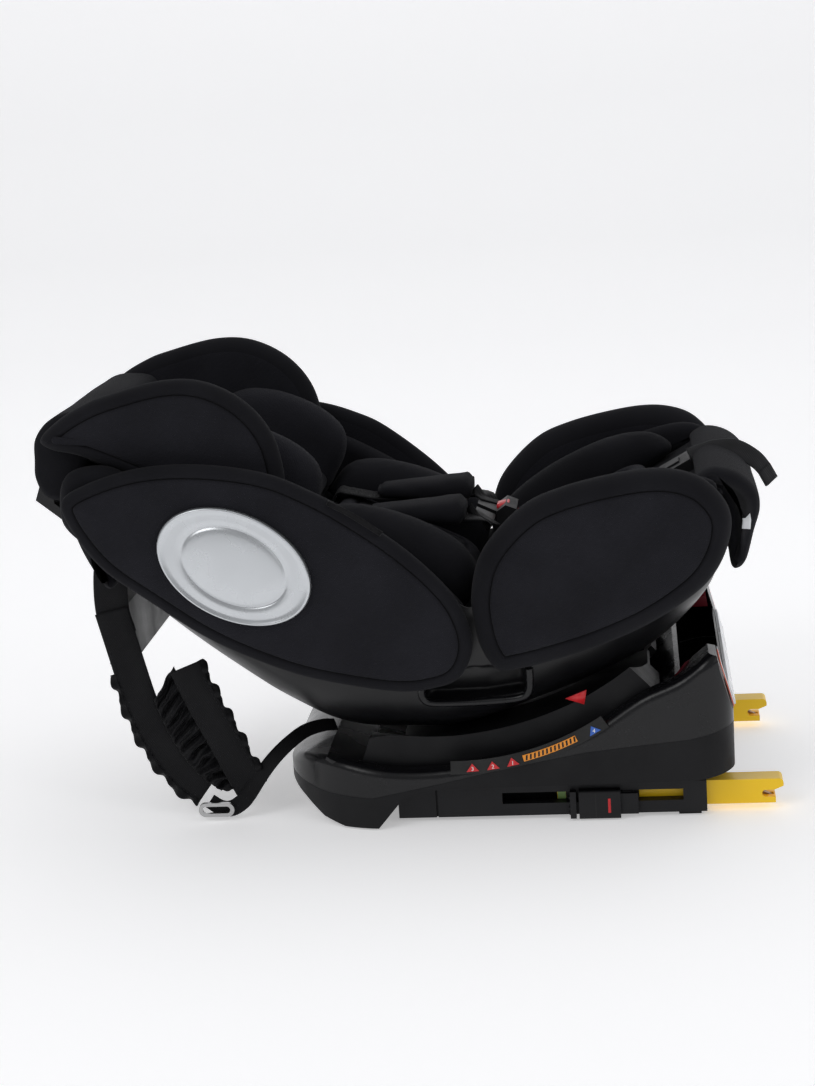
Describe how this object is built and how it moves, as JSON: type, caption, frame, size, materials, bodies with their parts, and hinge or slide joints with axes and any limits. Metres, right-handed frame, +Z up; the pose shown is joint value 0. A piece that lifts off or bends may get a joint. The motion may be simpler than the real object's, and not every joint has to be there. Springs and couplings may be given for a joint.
{
  "type": "convertible car seat",
  "caption": "Padded infant car seat with winged headrest and harness, which swivels and reclines on a latching base.",
  "frame": {"origin": "on the floor, at the middle of the whole seat's length and width", "axes": "+X towards the vehicle's seat back (the anchor arms), +Y to the child's left as it lies rear-facing, +Z up"},
  "size_m": [0.8101, 0.4506, 0.4968],
  "materials": {
    "matte_black_plastic": "fine moulded texture",
    "gloss_black_plastic": "polished",
    "dark_grey_plastic": "fine moulded texture",
    "white_plastic": "smooth",
    "mark_paint": "printed",
    "frame_steel": "powder coat",
    "bright_steel": "plain",
    "bronze_steel": "passivated",
    "yellow_plastic": "smooth",
    "silver_plastic": "satin",
    "foot_rubber": "plain",
    "charcoal_fabric": "woven",
    "webbing": "woven webbing",
    "red_plastic": "smooth",
    "bearing_plastic": "acetal"
  },
  "bodies": {
    "base": {"base_lower_shell": "matte_black_plastic", "base_upper_shell": "gloss_black_plastic", "rear_panel": "white_plastic", "scale_strips": "matte_black_plastic", "scale_marks": "mark_paint", "base_frame": "frame_steel", "recline_rails": "bright_steel", "foot_pads": "foot_rubber", "base_screws": "bright_steel", "isofix_housing_left": "dark_grey_plastic", "isofix_housing_right": "dark_grey_plastic"},
    "carriage": {"carriage_plate": "frame_steel", "carriage_cover": "matte_black_plastic", "slide_shoes": "bearing_plastic", "turntable_lower": "bright_steel", "turntable_bearing": "bearing_plastic"},
    "lock_bolt": {"recline_bolt": "bright_steel"},
    "lock_lever": {"recline_lever": "matte_black_plastic"},
    "seat_body": {"seat_shell": "matte_black_plastic", "seat_bucket": "matte_black_plastic", "turntable_upper": "bright_steel", "back_box": "dark_grey_plastic", "back_cushion": "charcoal_fabric", "seat_cushion": "charcoal_fabric", "back_insert": "charcoal_fabric", "seat_insert": "charcoal_fabric", "harness_straps": "webbing", "shoulder_pads": "charcoal_fabric", "harness_tongues": "matte_black_plastic", "crotch_strap": "webbing", "crotch_pad": "charcoal_fabric", "harness_buckle": "matte_black_plastic", "adjuster_housing": "matte_black_plastic", "adjuster_strap": "webbing", "back_wing_left": "charcoal_fabric", "back_wing_right": "charcoal_fabric", "leg_wing_left": "charcoal_fabric", "leg_wing_right": "charcoal_fabric", "side_protector_left": "silver_plastic", "side_protector_right": "silver_plastic"},
    "tether": {"tether_straps": "webbing", "tether_absorber": "webbing", "tether_webbing": "webbing", "tether_hook": "bright_steel"},
    "headrest": {"headrest_shell": "matte_black_plastic", "headrest_wings": "charcoal_fabric", "head_pillow": "charcoal_fabric", "belt_guides": "dark_grey_plastic"},
    "headrest_tab": {"headrest_pull": "matte_black_plastic"},
    "buckle_release": {"buckle_button": "red_plastic"},
    "adjuster_release": {"adjuster_button": "dark_grey_plastic"},
    "swivel_release": {"swivel_button": "dark_grey_plastic"},
    "arm_left": {"isofix_arm_left": "yellow_plastic", "isofix_block_left": "dark_grey_plastic"},
    "latch_left": {"isofix_latch_left": "bronze_steel"},
    "arm_button_left": {"isofix_button_left": "dark_grey_plastic"},
    "arm_right": {"isofix_arm_right": "yellow_plastic", "isofix_block_right": "dark_grey_plastic"},
    "latch_right": {"isofix_latch_right": "bronze_steel"},
    "arm_button_right": {"isofix_button_right": "dark_grey_plastic"}
  },
  "joints": [
    {"name": "recline", "type": "hinge", "parent": "base", "child": "carriage", "pos_m": [0.055, 0, 0.36], "axis": [0, 1, 0], "range_deg": [0, 22.6]},
    {"name": "swivel", "type": "hinge", "parent": "carriage", "child": "seat_body", "pos_m": [0.055, 0, 0.36], "axis": [-0.2756, 0, 0.9613], "continuous": true},
    {"name": "lock_lever_pull", "type": "hinge", "parent": "carriage", "child": "lock_lever", "pos_m": [0.21186, 0, 0.10898], "axis": [0, -1, 0], "range_deg": [0, 4]},
    {"name": "lock_bolt_slide", "type": "slide", "parent": "carriage", "child": "lock_bolt", "axis": [0.2756, 0, -0.9613], "range_m": [0, 0.006]},
    {"name": "headrest_height", "type": "slide", "parent": "seat_body", "child": "headrest", "axis": [-0.9063, 0, 0.4226], "range_m": [0, 0.12]},
    {"name": "headrest_tab_pull", "type": "slide", "parent": "headrest", "child": "headrest_tab", "axis": [-0.9063, 0, 0.4226], "range_m": [0, 0.005], "stiffness_N_per_m": 800},
    {"name": "buckle_press", "type": "slide", "parent": "seat_body", "child": "buckle_release", "axis": [-1, 0, 0], "range_m": [0, 0.004], "stiffness_N_per_m": 4000},
    {"name": "adjuster_press", "type": "slide", "parent": "seat_body", "child": "adjuster_release", "axis": [0.4772, 0, -0.8788], "range_m": [0, 0.003], "stiffness_N_per_m": 3000},
    {"name": "swivel_release_press", "type": "slide", "parent": "seat_body", "child": "swivel_release", "axis": [-0.766, 0, 0.6428], "range_m": [0, 0.003], "stiffness_N_per_m": 3000},
    {"name": "tether_swing", "type": "hinge", "parent": "seat_body", "child": "tether", "pos_m": [-0.346, 0, 0.244], "axis": [0, 1, 0], "range_deg": [0, 60]},
    {"name": "arm_slide_left", "type": "slide", "parent": "base", "child": "arm_left", "axis": [1, 0, 0], "range_m": [-0.08, 0.05]},
    {"name": "latch_turn_left", "type": "hinge", "parent": "arm_left", "child": "latch_left", "pos_m": [0.387, 0.14, 0.0118], "axis": [0, 1, 0], "range_deg": [-20, 58]},
    {"name": "arm_button_press_left", "type": "slide", "parent": "arm_left", "child": "arm_button_left", "axis": [1, 0, 0], "range_m": [0, 0.0025], "stiffness_N_per_m": 2000},
    {"name": "arm_slide_right", "type": "slide", "parent": "base", "child": "arm_right", "axis": [1, 0, 0], "range_m": [-0.08, 0.05]},
    {"name": "latch_turn_right", "type": "hinge", "parent": "arm_right", "child": "latch_right", "pos_m": [0.387, -0.14, 0.0118], "axis": [0, 1, 0], "range_deg": [-20, 58]},
    {"name": "arm_button_press_right", "type": "slide", "parent": "arm_right", "child": "arm_button_right", "axis": [1, 0, 0], "range_m": [0, 0.0025], "stiffness_N_per_m": 2000}
  ],
  "couplings": [
    {"joint": "lock_bolt_slide", "follows": "lock_lever_pull", "m_per_rad": 0.08594}
  ]
}
